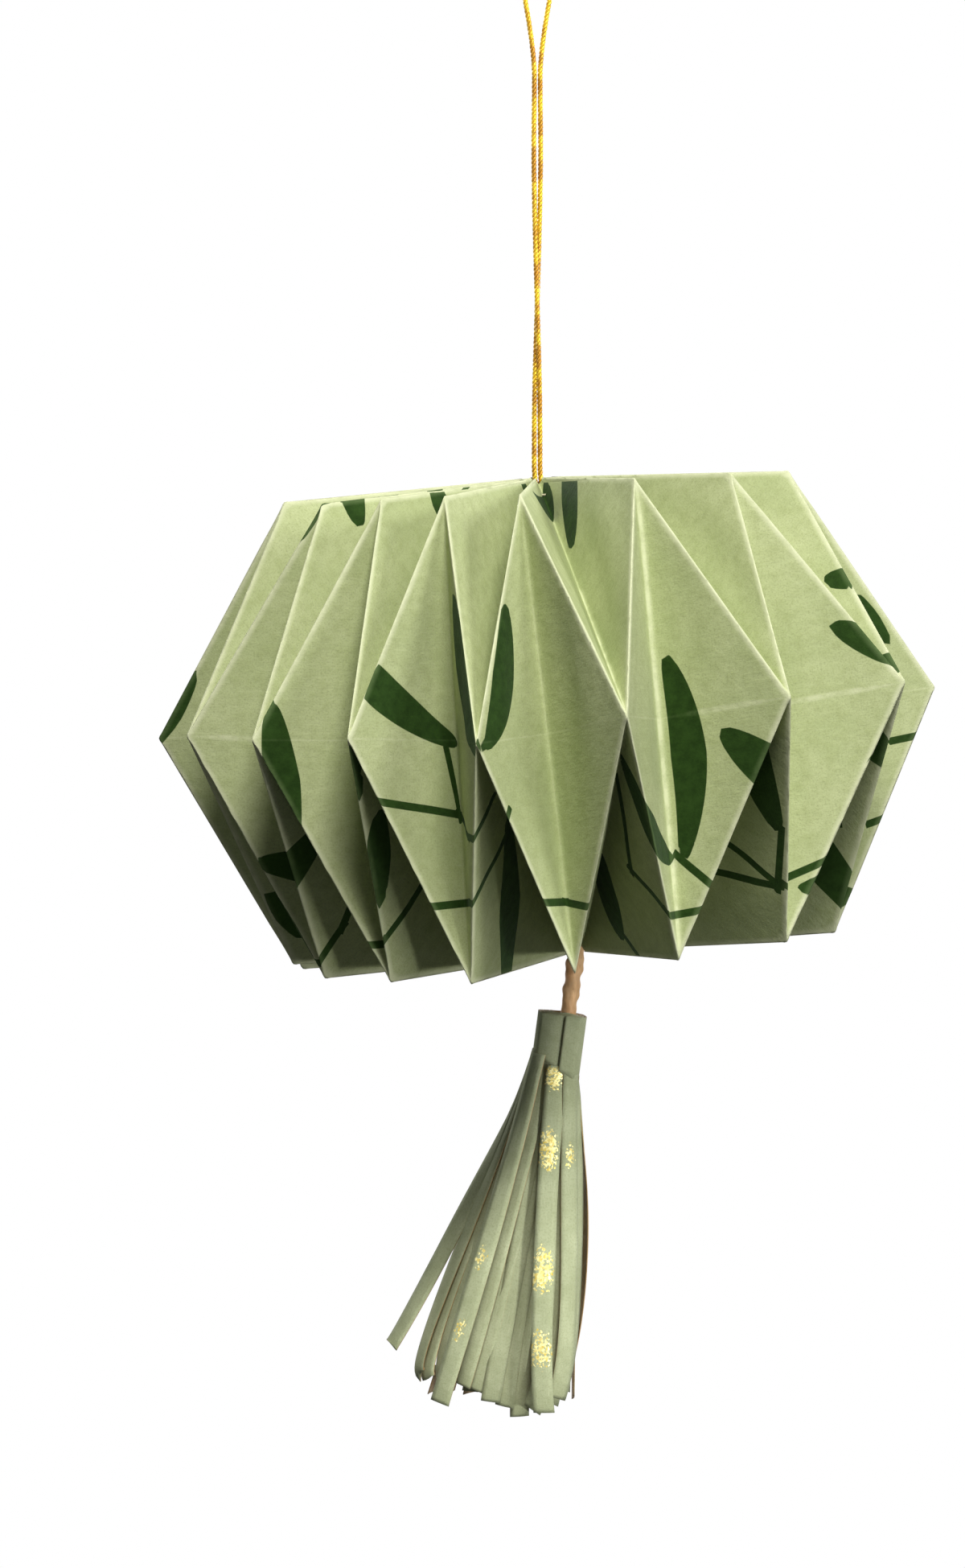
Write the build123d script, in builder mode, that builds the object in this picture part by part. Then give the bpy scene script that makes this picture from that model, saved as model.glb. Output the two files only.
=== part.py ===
"""A hanging ball folded from one pleated strip of paper, with its cord and a rolled paper tassel.

The origin is the inside top of the hanging loop, +Z is up, and the front faces -Y.
"""

import os
from math import atan2, cos, pi, radians, sin, sqrt, tan

import numpy as np
from build123d import *

# The strip of paper that the ball is folded from
BALL_RADIUS = 50.0  # from the axis to the outer corners of the middle row
PANEL_HALF_WIDTH = 18.0
PANEL_HALF_HEIGHT = 30.0
STRIP_WIDTH = 115.0
PAPER = 0.22
CONE_ANGLE = 2.5  # the upper tips stand nearer to the axis than the lower ones
RIDGE_RISE = 0.5  # the upper ridges climb this much on their way to the axis
RIDGE_HOLLOW = 1.5  # the lower ridges climb this much into the ball

# How far each pleat has opened, from the left edge across the front and then round the back
OPENINGS = [23, 19, 18, 19, 21, 26, 28, 26, 23, 22, 21, 22, 23, 24, 23, 22]

# Gathering at both ends
TOP_HOLE = 1.3
BOTTOM_HOLE = 1.5
THREAD = 0.3
THREAD_RING = 4.4
THREAD_CLEARANCE = 0.1
THREAD_SIDES = 6
TUCK_START = 5.8  # the closed tucks stop short of the gathering thread

# Cord
CORD = 0.7
STRAND_GAP = 0.02
LOOP_HALF_WIDTH = 2.4
LOOP_LENGTH = 14.0
CORD_DROP = 69.0  # from the inside top of the loop down to the ball
TIGHT_BEND = 40.0  # the cord is pulled straight, so it bends only where something holds it
KNOT_RADIUS = 1.4
KNOT_LENGTH = 2.3
KNOT_CLEARANCE = 0.05

# Tassel
STEM_DIAMETER = 2.1
STEM_BORE = 1.56
STEM_IN_BALL = 1.2
STEM_SHOWING = 9.2
STEM_CLEAR = 6.5  # the cord bends this far above the stem, inside the ball
HEAD_DIAMETER = 6.8
HEAD_LENGTH = 7.8
ROLL_DEPTH = 1.2  # how deep the turns of the roll stay open at the top
TURN_PITCH = 0.4
STEM_FIT = 0.05
STRIP_LENGTH = 44.5
STRIP_CUT = 2.4
STRIP_PAPER = 0.24
STRIP_BEND_RADIUS = 22.0

# Each ring of cut strips: radius at the head, number of strips, outward lean in degrees
STRIP_RINGS = [(3.2, 8, 9.0), (2.8, 7, 7.4), (2.4, 6, 5.8), (2.0, 5, 4.2)]
LOOSE_STRIP_LEAN = 23.0

# How the hanging pieces lean, in degrees about Y, from the vertical
BALL_LEAN = 4.3
TASSEL_LEAN = 7.5

PLEATS = len(OPENINGS)


def polar(radius, azimuth, height):
    """A point by its azimuth in degrees, from the front (-Y) towards +X."""
    angle = radians(azimuth)
    return Vector(radius * sin(angle), -radius * cos(angle), height)


def fold_strip():
    """The folded strip about the ball's centre: outer corners, tips, and where both stand."""
    turn = 360.0 / sum(OPENINGS)
    outer, upper, lower, edges, middles = [], [], [], [], []
    azimuth = -90.0
    for opening in OPENINGS:
        half = radians(opening * turn / 2)
        across = BALL_RADIUS * sin(half)
        depth = cos(radians(CONE_ANGLE)) * sqrt(PANEL_HALF_WIDTH**2 - across**2)
        valley_radius = BALL_RADIUS * cos(half) - depth
        valley_height = -depth * tan(radians(CONE_ANGLE))
        inward = PANEL_HALF_HEIGHT * sin(radians(CONE_ANGLE))
        rise = PANEL_HALF_HEIGHT * cos(radians(CONE_ANGLE))
        middle = azimuth + opening * turn / 2
        outer.append(polar(BALL_RADIUS, azimuth, 0))
        upper.append(polar(valley_radius - inward, middle, valley_height + rise))
        lower.append(polar(valley_radius + inward, middle, valley_height - rise))
        edges.append(azimuth)
        middles.append(middle)
        azimuth += opening * turn
    return outer, upper, lower, edges, middles


OUTER, UPPER, LOWER, EDGES, MIDDLES = fold_strip()
TOP_HEIGHT = sum(tip.Z for tip in UPPER) / PLEATS + RIDGE_RISE
BOTTOM_HEIGHT = sum(tip.Z for tip in LOWER) / PLEATS + RIDGE_HOLLOW

# The corners in one row, and the triangles of paper between them
CORNERS = OUTER + UPPER + LOWER + [Vector(0, 0, TOP_HEIGHT), Vector(0, 0, BOTTOM_HEIGHT)]
PANELS = []
for pleat in range(PLEATS):
    after = (pleat + 1) % PLEATS
    tip_up, tip_down = PLEATS + pleat, 2 * PLEATS + pleat
    top, bottom = 3 * PLEATS, 3 * PLEATS + 1
    PANELS += [(pleat, tip_down, tip_up), (after, tip_up, tip_down)]
    PANELS += [(pleat, tip_up, top), (after, top, tip_up)]
    PANELS += [(pleat, bottom, tip_down), (after, tip_down, bottom)]


def panel_normal(panel):
    a, b, c = (CORNERS[k] for k in panel)
    return (b - a).cross(c - a).normalized()


def set_back(corner, thickness):
    """The corner on the inner face of the paper: as near as can be to each panel's thickness."""
    normals = [panel_normal(panel) for panel in PANELS if corner in panel]
    rows = np.array([tuple(normal) for normal in normals])
    shift, *_ = np.linalg.lstsq(rows, -thickness * np.ones(len(rows)), rcond=None)
    return CORNERS[corner] + Vector(*shift)


def faceted(corners):
    """A closed solid whose faces are the panels of paper."""
    faces = [Face(Wire.make_polygon([corners[k] for k in panel])) for panel in PANELS]
    return Solid(Shell(faces))


# Places of the hanging pieces
TIE = Vector(0, 0, -CORD_DROP)
ball_axis = Vector(0, 0, 1).rotate(Axis.Y, -BALL_LEAN)
ball_plane = Plane(
    origin=TIE - ball_axis * TOP_HEIGHT,
    x_dir=Vector(1, 0, 0).rotate(Axis.Y, -BALL_LEAN),
    z_dir=ball_axis,
)
bottom_centre = ball_plane.from_local_coords(Vector(0, 0, BOTTOM_HEIGHT))
tassel_axis = Vector(0, 0, 1).rotate(Axis.Y, TASSEL_LEAN)
tassel_plane = Plane(
    origin=bottom_centre - tassel_axis * STEM_SHOWING,
    x_dir=Vector(1, 0, 0).rotate(Axis.Y, TASSEL_LEAN),
    z_dir=tassel_axis,
)


def within(plane, local):
    """A plane given in the coordinates of another one."""
    return Plane(plane.location * local.location)


def ridge_fall(pleat, up):
    """How steeply the paper falls away from a ridge, as depth for each unit to the side."""
    tip = UPPER[pleat] if up else LOWER[pleat]
    across = BALL_RADIUS * sin(radians(OPENINGS[pleat] * 180.0 / sum(OPENINGS)))
    return abs(tip.Z) / across


def tuck_outline(pleat, up):
    """The closed tuck under one ridge, as radius and height in the plane of that ridge."""
    tip = UPPER[pleat] if up else LOWER[pleat]
    side = 1 if up else -1
    apex = TOP_HEIGHT if up else BOTTOM_HEIGHT
    tip_radius = sqrt(tip.X**2 + tip.Y**2)
    share = (STRIP_WIDTH / 2 - PANEL_HALF_HEIGHT) / PANEL_HALF_HEIGHT
    ridge = share * sqrt(PANEL_HALF_WIDTH**2 + PANEL_HALF_HEIGHT**2)
    edge = share * PANEL_HALF_WIDTH
    fold = STRIP_WIDTH / 2 - PANEL_HALF_HEIGHT
    along = (fold**2 - edge**2 + ridge**2) / (2 * ridge)
    depth = sqrt(fold**2 - along**2)
    slope = (apex - tip.Z) / tip_radius
    under = -side * 1.5 * PAPER * ridge_fall(pleat, up)

    def on_ridge(radius):
        return tip.Z + slope * (tip_radius - radius)

    foot_radius = tip_radius - along
    start = tip_radius - PAPER
    return [
        (start, on_ridge(start) + under),
        (foot_radius, on_ridge(foot_radius) - side * depth),
        (TUCK_START, on_ridge(TUCK_START) + under),
    ]


def thread_height(up):
    """Height of the gathering thread: midway between the ridges and the valleys it passes."""
    side = 1 if up else -1
    apex = TOP_HEIGHT if up else BOTTOM_HEIGHT
    return apex - side * abs(apex) * THREAD_RING / BALL_RADIUS / 2


def thread_ring(up, diameter):
    """A closed thread, straight through each panel, with a corner at every ridge and valley."""
    height = thread_height(up)
    corners = [polar(THREAD_RING, azimuth, height) for azimuth in sorted(EDGES + MIDDLES)]
    start = (corners[0] + corners[-1]) / 2
    with BuildPart() as ring:
        with BuildLine() as path:
            Polyline(start, *corners, close=True)
        with BuildSketch(Plane(start, z_dir=corners[0] - start)):
            RegularPolygon(diameter / 2, THREAD_SIDES)
        sweep(transition=Transition.RIGHT)
    return ring.part


# The ball: one strip, creased, glued into a ring and drawn together at both ends
with BuildPart(ball_plane) as folded_ball:
    add(faceted(CORNERS))
    add(faceted([set_back(k, PAPER) for k in range(len(CORNERS))]), mode=Mode.SUBTRACT)
    for up in (True, False):
        for pleat, middle in enumerate(MIDDLES):
            outline = [Vector(r, z) for r, z in tuck_outline(pleat, up)]
            ridge_plane = Plane(
                origin=(0, 0, 0), x_dir=polar(1, middle, 0), z_dir=polar(1, middle - 90, 0)
            )
            with BuildSketch(within(ball_plane, ridge_plane)) as tuck:
                with BuildLine():
                    Polyline(*outline, close=True)
                make_face()
            extrude(amount=PAPER, both=True)
    with Locations((0, 0, TOP_HEIGHT)):
        Cylinder(TOP_HOLE, 8 * TOP_HOLE, mode=Mode.SUBTRACT)
    with Locations((0, 0, BOTTOM_HEIGHT)):
        Cylinder(BOTTOM_HOLE, 8 * BOTTOM_HOLE, mode=Mode.SUBTRACT)
    for up in (True, False):
        add(thread_ring(up, THREAD + 2 * THREAD_CLEARANCE), mode=Mode.SUBTRACT)

folded_ball.part.label = "folded_ball"


# The threads that hold the tips together, each through two holes in every pleat
with BuildPart(ball_plane) as top_gathering_thread:
    add(thread_ring(True, THREAD))
top_gathering_thread.part.label = "top_gathering_thread"
with BuildPart(ball_plane) as bottom_gathering_thread:
    add(thread_ring(False, THREAD))
bottom_gathering_thread.part.label = "bottom_gathering_thread"

# The cord: both strands and the bend between them are one piece, with a knot inside the ball
STRAND = (CORD + STRAND_GAP) / 2
LOOP_TOP = CORD / 2
HEAD_END = HEAD_LENGTH - CORD
STEM_TOP = STEM_SHOWING + STEM_IN_BALL
APEX_INSIDE = set_back(3 * PLEATS, PAPER).Z
VALLEY_SLOPE = atan2(TOP_HEIGHT, BALL_RADIUS)
KNOT_REACH = sqrt(KNOT_RADIUS**2 + KNOT_LENGTH**2 / 4)
KNOT_HEIGHT = APEX_INSIDE - (KNOT_REACH + KNOT_CLEARANCE) / cos(VALLEY_SLOPE)


def strand(side):
    """Points of one strand, from its end in the tassel head up to the loop."""
    end = tassel_plane.from_local_coords(Vector(side * STRAND, 0, -HEAD_END))
    at_bottom = tassel_plane.from_local_coords(Vector(side * STRAND, 0, STEM_TOP + STEM_CLEAR))
    at_top = TIE + Vector(side * STRAND, 0, 0)
    neck = Vector(side * STRAND, 0, -LOOP_LENGTH)
    shoulder = Vector(side * LOOP_HALF_WIDTH, 0, -LOOP_HALF_WIDTH)
    crown = Vector(side * LOOP_HALF_WIDTH * 0.6, 0, LOOP_TOP)
    return [end, at_bottom, at_top, neck, shoulder, crown]


cord_points = strand(-1) + strand(1)[::-1]


def bend_radii(points):
    """An arc for each corner: as large as its two runs leave room for, up to a tight bend."""
    radii = []
    for before, here, after in zip(points, points[1:], points[2:]):
        turn = radians((here - before).get_angle(after - here))
        shorter = min((here - before).length, (after - here).length)
        radii.append(min(TIGHT_BEND, 0.45 * shorter / tan(turn / 2)))
    return radii


cord_radii = bend_radii(cord_points)
print("cord radii", [round(radius, 1) for radius in cord_radii])

with BuildPart() as hanging_cord:
    with BuildLine() as cord_route:
        FilletPolyline(*cord_points, radius=cord_radii)
    with BuildSketch(Plane(cord_route.line @ 0, z_dir=cord_route.line % 0)):
        Circle(CORD / 2)
    sweep()
    cord_length = sum(edge.length for edge in cord_route.edges())
    cord_volume = cord_length * pi * CORD**2 / 4
    print("cord length", round(cord_length, 1), "tube", round(hanging_cord.part.volume / cord_volume, 4))
    with Locations(Plane(ball_plane.from_local_coords(Vector(0, 0, KNOT_HEIGHT)), z_dir=ball_axis)):
        Cylinder(KNOT_RADIUS, KNOT_LENGTH)

hanging_cord.part.label = "hanging_cord"


def roll_outline(radius, step):
    """Outline of a rolled strip: two half turns, the second one a paper's thickness out."""
    with BuildLine() as outline:
        CenterArc((0, 0), radius - step, 0, 180)
        CenterArc((step / 2, 0), radius - step / 2, 180, 180)
        Line((radius - step, 0), (radius, 0))
    return outline.line


# The rolled stem between the ball and the tassel head, with the cord's ends inside
with BuildPart(tassel_plane) as tassel_stem:
    with BuildSketch(within(tassel_plane, Plane.XY.offset(-HEAD_END))):
        add(roll_outline(STEM_DIAMETER / 2, PAPER / 2))
        make_face()
        Circle(STEM_BORE / 2, mode=Mode.SUBTRACT)
    extrude(amount=HEAD_END + STEM_TOP)

tassel_stem.part.label = "tassel_stem"


def turns(first_radius, last_radius, pitch, paper):
    """A spiral of half turns of paper, from the inner edge of the roll to the outer one."""
    count = int((last_radius - first_radius) / (pitch / 2))
    with BuildLine() as outline:
        for k in range(count):
            centre = ((-1) ** (k + 1) * pitch / 4, 0)
            radius = first_radius + k * pitch / 2
            start = 0 if k % 2 == 0 else 180
            for edge in (radius - paper / 2, radius + paper / 2):
                CenterArc(centre, edge, start, 180)
        inner_x = first_radius - pitch / 4
        Line((inner_x - paper / 2, 0), (inner_x + paper / 2, 0))
        outer_radius = first_radius + (count - 1) * pitch / 2
        outer_side = -1 if count % 2 == 1 else 1
        outer_x = outer_side * (outer_radius + pitch / 4)
        Line((outer_x - paper / 2, 0), (outer_x + paper / 2, 0))
    return outline.line


def strip_outline(radius, lean, length):
    """Side view of one cut strip: straight out of the head, one bend, then straight to its end."""
    bend = radians(lean)
    root = -HEAD_LENGTH + STRIP_PAPER
    leave = root - 2 * STRIP_PAPER
    onward = Vector(sin(bend), -cos(bend)) * (length - STRIP_BEND_RADIUS * bend)
    roots, ends = [], []
    with BuildLine() as outline:
        for side in (-1, 1):
            x = radius + side * STRIP_PAPER / 2
            centre = (radius + STRIP_BEND_RADIUS, leave)
            first = Line((x, root), (x, leave))
            curve = CenterArc(centre, STRIP_BEND_RADIUS - side * STRIP_PAPER / 2, 180, lean)
            last = Line(curve @ 1, curve @ 1 + onward)
            roots.append(first @ 0)
            ends.append(last @ 1)
        Line(*roots)
        Line(*ends)
    return outline.line


# The tassel: one sheet, slit into strips along one side and rolled up round the stem
with BuildPart(tassel_plane) as tassel_fringe:
    with BuildSketch(within(tassel_plane, Plane.XY.offset(-HEAD_LENGTH))):
        add(roll_outline(HEAD_DIAMETER / 2, STRIP_PAPER))
        make_face()
    extrude(amount=HEAD_LENGTH - ROLL_DEPTH)
    with BuildSketch(within(tassel_plane, Plane.XY.offset(-ROLL_DEPTH))):
        add(turns(STEM_DIAMETER / 2 + TURN_PITCH, HEAD_DIAMETER / 2, TURN_PITCH, STRIP_PAPER))
        make_face()
    extrude(amount=ROLL_DEPTH)
    for ring, (radius, count, lean) in enumerate(STRIP_RINGS):
        for k in range(count):
            azimuth = 360.0 * (k + ring / 2) / count - 90
            loose = ring == 0 and k == 0
            tilt = LOOSE_STRIP_LEAN if loose else lean + sin(3.7 * k + 1.9 * ring)
            length = STRIP_LENGTH - ring + 1.5 * sin(2.3 * k + ring)
            strip_plane = Plane(
                origin=(0, 0, 0), x_dir=polar(1, azimuth, 0), z_dir=polar(1, azimuth - 90, 0)
            )
            with BuildSketch(within(tassel_plane, strip_plane)):
                add(strip_outline(radius, tilt, length))
                make_face()
            extrude(amount=STRIP_CUT / 2, both=True)
    with Locations((0, 0, -HEAD_END / 2)):
        Cylinder(STEM_DIAMETER / 2 + STEM_FIT, HEAD_END, mode=Mode.SUBTRACT)

tassel_fringe.part.label = "tassel_fringe"

pieces = [
    folded_ball,
    top_gathering_thread,
    bottom_gathering_thread,
    hanging_cord,
    tassel_stem,
    tassel_fringe,
]
os.makedirs("parts", exist_ok=True)
for piece in pieces:
    export_step(piece.part, f"parts/{piece.part.label}.step")
    print(piece.part.label, len(piece.part.solids()), round(piece.part.volume, 1))
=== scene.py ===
"""The hanging folded-paper ball with its cord and rolled paper tassel, dressed for rendering.

Every sheet of paper is made flat and then bent to its place, as the real one is.
Lengths are in millimetres until a mesh is made. Lamps, bumps and noise scales are in metres.
"""

import random
from collections import namedtuple
from math import atan2, cos, pi, radians, sin, sqrt, tan

import bmesh
import bpy
import numpy as np
from mathutils import Matrix, Vector


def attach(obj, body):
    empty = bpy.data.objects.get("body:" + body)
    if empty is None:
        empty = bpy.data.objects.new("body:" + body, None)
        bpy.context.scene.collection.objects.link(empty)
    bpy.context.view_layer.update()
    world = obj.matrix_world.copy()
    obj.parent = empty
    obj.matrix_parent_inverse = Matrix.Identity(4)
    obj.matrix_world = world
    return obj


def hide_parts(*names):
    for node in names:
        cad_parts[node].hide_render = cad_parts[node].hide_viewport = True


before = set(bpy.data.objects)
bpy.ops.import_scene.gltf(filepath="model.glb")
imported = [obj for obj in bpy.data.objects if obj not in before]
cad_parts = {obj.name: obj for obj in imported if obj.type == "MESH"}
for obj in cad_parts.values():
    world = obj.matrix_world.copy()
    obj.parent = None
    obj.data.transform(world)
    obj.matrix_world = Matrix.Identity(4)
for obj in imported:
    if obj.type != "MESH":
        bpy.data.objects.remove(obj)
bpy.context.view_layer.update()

MM = 0.001
random.seed(7)

# The ball's measures, in mm and degrees

BALL_RADIUS = 50.0
HALF_WIDTH = 18.0  # of a diamond panel, and so half a pleat of the flat strip
HALF_HEIGHT = 30.0
PANEL_SIDE = sqrt(HALF_WIDTH**2 + HALF_HEIGHT**2)
STRIP_EDGE = 57.5  # from the strip's middle line to its cut edge
FULL_REACH = 2 * HALF_HEIGHT  # a roof panel this long would end on the axis
CONE_ANGLE = 2.5
RIDGE_RISE = 0.5  # the gathered top stands this much over the upper tips
RIDGE_HOLLOW = 1.5  # the gathered bottom lies this much above the lower tips
CORNER_RISE = 1.2  # the paper at the outer corners is pulled up
TOP_HOLE = 1.3  # radius of the gap that the cord comes out of
BOTTOM_HOLE = 1.5
TUCK_INWARD = 25.7  # from a ridge's tip to the cut edge of the tuck under it
TUCK_DEPTH = 15.4
GIRDLE_TILT = 0.012  # rise of the ring of corners for each mm to the right
# How far each pleat stands open, in shares of the whole turn, from the left edge past the front
OPENINGS = [23, 19, 18, 19, 21, 26, 28, 26, 23, 22, 21, 22, 23, 24, 23, 22]
PLEATS = len(OPENINGS)
STRIP = 2 * HALF_WIDTH * PLEATS
CORD_DROP = 69.0
BALL_LEAN = 4.3
TASSEL_LEAN = 7.5
STEM_SHOWING = 9.2
STEM_ASIDE = 0.8  # the stem comes out of the roll a little to the right
FAR = 9.0  # further than any print or worn crease reaches
UV_UNIT = 100.0  # mm of a sheet for one unit of its UV map

# How the hand has pulled single corners, in mm: right, back, up. Outer corners from the left edge.
PULLED_OUTER = {
    0: (-0.5, 0, 0.5),
    1: (0.3, 0, 1.2),
    2: (0.2, 0, 0.5),
    4: (0, 0, -1.7),
    6: (-0.5, 0, 0.3),
    7: (-0.6, 0, 0.2),
    8: (-0.2, 0, -1.6),
}
PULLED_UPPER = {
    0: (0.3, 0, 0.9),
    1: (0.4, 0, 0.3),
    2: (1.0, 0, 0.3),
    4: (-1.7, 0, -0.5),
    5: (-0.8, 0, 0.4),
    6: (-1.5, 0, 0.2),
}
PULLED_LOWER = {
    0: (-0.5, 0, 1.8),
    1: (-1.6, 0, 0.7),
    2: (-0.7, 0, 0.3),
    3: (-0.3, 0, -0.2),
    4: (0.7, 0, 0.4),
    5: (-0.8, 0, 0.8),
    6: (-0.8, 0, 1.2),
    7: (-0.9, 0, 0.7),
}
# The gathered middle stands this much to the right of the ring of corners
OFF_CENTRE = 0.6


def polar(radius, azimuth, height):
    angle = radians(azimuth)
    return np.array([radius * sin(angle), -radius * cos(angle), height])


def fold_corners():
    """Outer corners, upper tips and lower tips of the folded strip, about the ball's centre."""
    turn = 360.0 / sum(OPENINGS)
    outer, upper, lower, edges = [], [], [], []
    azimuth = -90.0
    for opening in OPENINGS:
        half = radians(opening * turn / 2)
        depth = cos(radians(CONE_ANGLE)) * sqrt(HALF_WIDTH**2 - (BALL_RADIUS * sin(half)) ** 2)
        valley_radius = BALL_RADIUS * cos(half) - depth
        valley_height = -depth * tan(radians(CONE_ANGLE))
        inward = HALF_HEIGHT * sin(radians(CONE_ANGLE))
        rise = HALF_HEIGHT * cos(radians(CONE_ANGLE))
        middle = azimuth + opening * turn / 2
        outer.append(polar(BALL_RADIUS, azimuth, CORNER_RISE))
        upper.append(polar(valley_radius - inward, middle, valley_height + rise))
        lower.append(polar(valley_radius + inward, middle, valley_height - rise))
        edges.append(azimuth)
        azimuth += opening * turn
    return outer, upper, lower, edges


OUTER, UPPER, LOWER, EDGES = fold_corners()
TOP_HEIGHT = sum(tip[2] for tip in UPPER) / PLEATS + RIDGE_RISE
BOTTOM_HEIGHT = sum(tip[2] for tip in LOWER) / PLEATS + RIDGE_HOLLOW
for row, pulled in ((OUTER, PULLED_OUTER), (UPPER, PULLED_UPPER), (LOWER, PULLED_LOWER)):
    for k in range(PLEATS):
        row[k] = row[k] + np.array([-OFF_CENTRE, 0.0, 0.0]) + np.array(pulled.get(k, (0, 0, 0)))
for k in range(PLEATS):
    OUTER[k][2] += GIRDLE_TILT * OUTER[k][0]

ball_turn = Matrix.Rotation(radians(-BALL_LEAN), 4, "Y")
ball_axis = (ball_turn @ Vector((0, 0, 1))).normalized()
TIE = Vector((0, 0, -CORD_DROP))
BALL = Matrix.Translation(TIE - ball_axis * TOP_HEIGHT) @ ball_turn
bottom_centre = BALL @ Vector((0, 0, BOTTOM_HEIGHT))
tassel_turn = Matrix.Rotation(radians(TASSEL_LEAN), 4, "Y")
tassel_axis = (tassel_turn @ Vector((0, 0, 1))).normalized()
TASSEL = Matrix.Translation(bottom_centre - tassel_axis * STEM_SHOWING) @ tassel_turn


def at_axis(edge, up):
    """Where a valley's paper would meet the axis, so that its cut edge ends at the hole."""
    outer = OUTER[edge]
    hole = TOP_HOLE if up else BOTTOM_HOLE
    height = TOP_HEIGHT if up else BOTTOM_HEIGHT
    rim = polar(hole, EDGES[edge], height) + np.array([0.0 if up else STEM_ASIDE, 0.0, 0.0])
    return outer + (rim - outer) * FULL_REACH / STRIP_EDGE


def tuck_foot(pleat, up):
    """The middle of a tuck's cut edge, hidden inside the ball under the ridge."""
    tip = UPPER[pleat] if up else LOWER[pleat]
    side = 1 if up else -1
    radius = sqrt(tip[0] ** 2 + tip[1] ** 2)
    inward = np.array([-tip[0] / radius, -tip[1] / radius, 0.0])
    return tip + inward * TUCK_INWARD - np.array([0, 0, side * TUCK_DEPTH])


AXIS_UP = [at_axis(k, True) for k in range(PLEATS)]
AXIS_DOWN = [at_axis(k, False) for k in range(PLEATS)]
FOOT_UP = [tuck_foot(k, True) for k in range(PLEATS)]
FOOT_DOWN = [tuck_foot(k, False) for k in range(PLEATS)]


def fold(u, v):
    """Places of the strip's flat points (u along it, v across it) when it is sharply folded."""
    outer, upper, lower = np.array(OUTER), np.array(UPPER), np.array(LOWER)
    axis_up, axis_down = np.array(AXIS_UP), np.array(AXIS_DOWN)
    foot_up, foot_down = np.array(FOOT_UP), np.array(FOOT_DOWN)
    u = np.mod(u, STRIP)
    pleat = np.minimum((u // (2 * HALF_WIDTH)).astype(int), PLEATS - 1)
    within = u - 2 * HALF_WIDTH * pleat
    right = within > HALF_WIDTH
    edge = np.where(right, (pleat + 1) % PLEATS, pleat)
    # From 0 at an outer corner to 1 at the middle of its panel
    inward = np.where(right, 2 * HALF_WIDTH - within, within)[:, None] / HALF_WIDTH
    up = (v >= 0)[:, None]
    height = np.abs(v)[:, None]
    corner, above, below = outer[edge], upper[pleat], lower[pleat]
    tip = np.where(up, above, below)
    axis = np.where(up, axis_up[edge], axis_down[edge])
    foot = np.where(up, foot_up[pleat], foot_down[pleat])
    upright = v[:, None] / HALF_HEIGHT * (above - below) / 2
    panel = corner + inward * ((above + below) / 2 - corner) + upright
    past_ridge = (height - inward * HALF_HEIGHT) / FULL_REACH
    roof = corner + inward * (tip - corner) + past_ridge * (axis - corner)
    past_tip = (height - HALF_HEIGHT) / HALF_HEIGHT
    tuck = tip + (1 - inward) * (axis - foot) + past_tip * (foot - tip)
    is_panel = height <= inward * HALF_HEIGHT
    is_tuck = height > FULL_REACH - inward * HALF_HEIGHT
    return np.where(is_panel, panel, np.where(is_tuck, tuck, roof))


# The printed sprigs

# Leaves: base u, v and tip u, v in mm on the flat strip, width, sideways bend, and whether the
# print shows only on the panel or only on the roof beside the ridge, where the fold has slipped
LEAVES = [
    (146.4, -1.0, 155.4, 16.8, 5.4, -1.7, ""),
    (144.8, -1.6, 130.6, 17.8, 8.4, 1.8, "panel"),
    (126.4, -0.6, 104.0, 16.5, 5.2, 2.4, "panel"),
    (199.8, -18.0, 199.8, 7.9, 4.9, -2.0, ""),
    (198.6, -17.6, 180.2, -8.6, 4.8, 1.0, ""),
    (225.0, -17.8, 206.2, -2.6, 6.2, 0.6, ""),
    (77.4, -15.5, 74.7, 5.0, 5.0, 0.0, ""),
    (96.0, -21.0, 104.6, -11.6, 4.4, 0.3, "roof"),
    (103.5, -8.0, 107.6, -1.0, 2.8, 0.0, "roof"),
    (-2.2, -2.4, 5.6, 8.6, 3.8, 0.0, ""),
    (263.5, 11.5, 258.4, 17.4, 3.6, 0.0, "roof"),
    (257.0, 1.2, 243.6, 8.9, 4.3, 0.3, ""),
    (282.0, 6.2, 277.4, 13.4, 3.0, 0.4, ""),
    (246.0, -9.4, 260.0, -8.6, 4.6, 0.0, ""),
    (236.0, -23.4, 274.0, -25.4, 6.4, 0.0, ""),
    (45.0, -15.6, 69.0, -16.2, 5.6, 0.0, ""),
    (24.8, -20.5, 21.5, -29.0, 2.6, 0.0, ""),
    (46.8, -19.0, 52.6, -28.6, 2.6, -0.4, ""),
    (187.4, -43.6, 179.6, -32.6, 6.0, 0.5, ""),
    (129.6, -43.0, 143.4, -18.6, 5.0, -0.5, ""),
    (212.0, -44.0, 203.5, -35.5, 4.2, 0.4, ""),
    (117.5, -38.0, 125.0, -28.0, 3.4, 0.6, ""),
    (18.0, -20.0, 27.0, -12.0, 4.4, 0.3, ""),
    (24.0, -29.0, 35.0, -23.0, 3.8, 0.3, ""),
    (54.8, 32.0, 50.8, 24.8, 1.8, 0.0, ""),
    (47.0, 40.0, 60.4, 32.2, 4.4, -0.3, "roof"),
    (172.2, 44.4, 181.4, 56.4, 4.2, -2.3, ""),
    (188.8, 57.0, 181.6, 37.8, 4.8, 0.2, ""),
    (126.0, 51.5, 133.0, 48.5, 2.6, 0.2, ""),
    (139.0, 55.0, 149.5, 51.0, 2.4, 0.2, ""),
    (190.0, 52.0, 204.0, 47.0, 3.4, -0.4, ""),
    (222.0, 50.0, 234.0, 44.0, 3.6, 0.4, ""),
]
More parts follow.
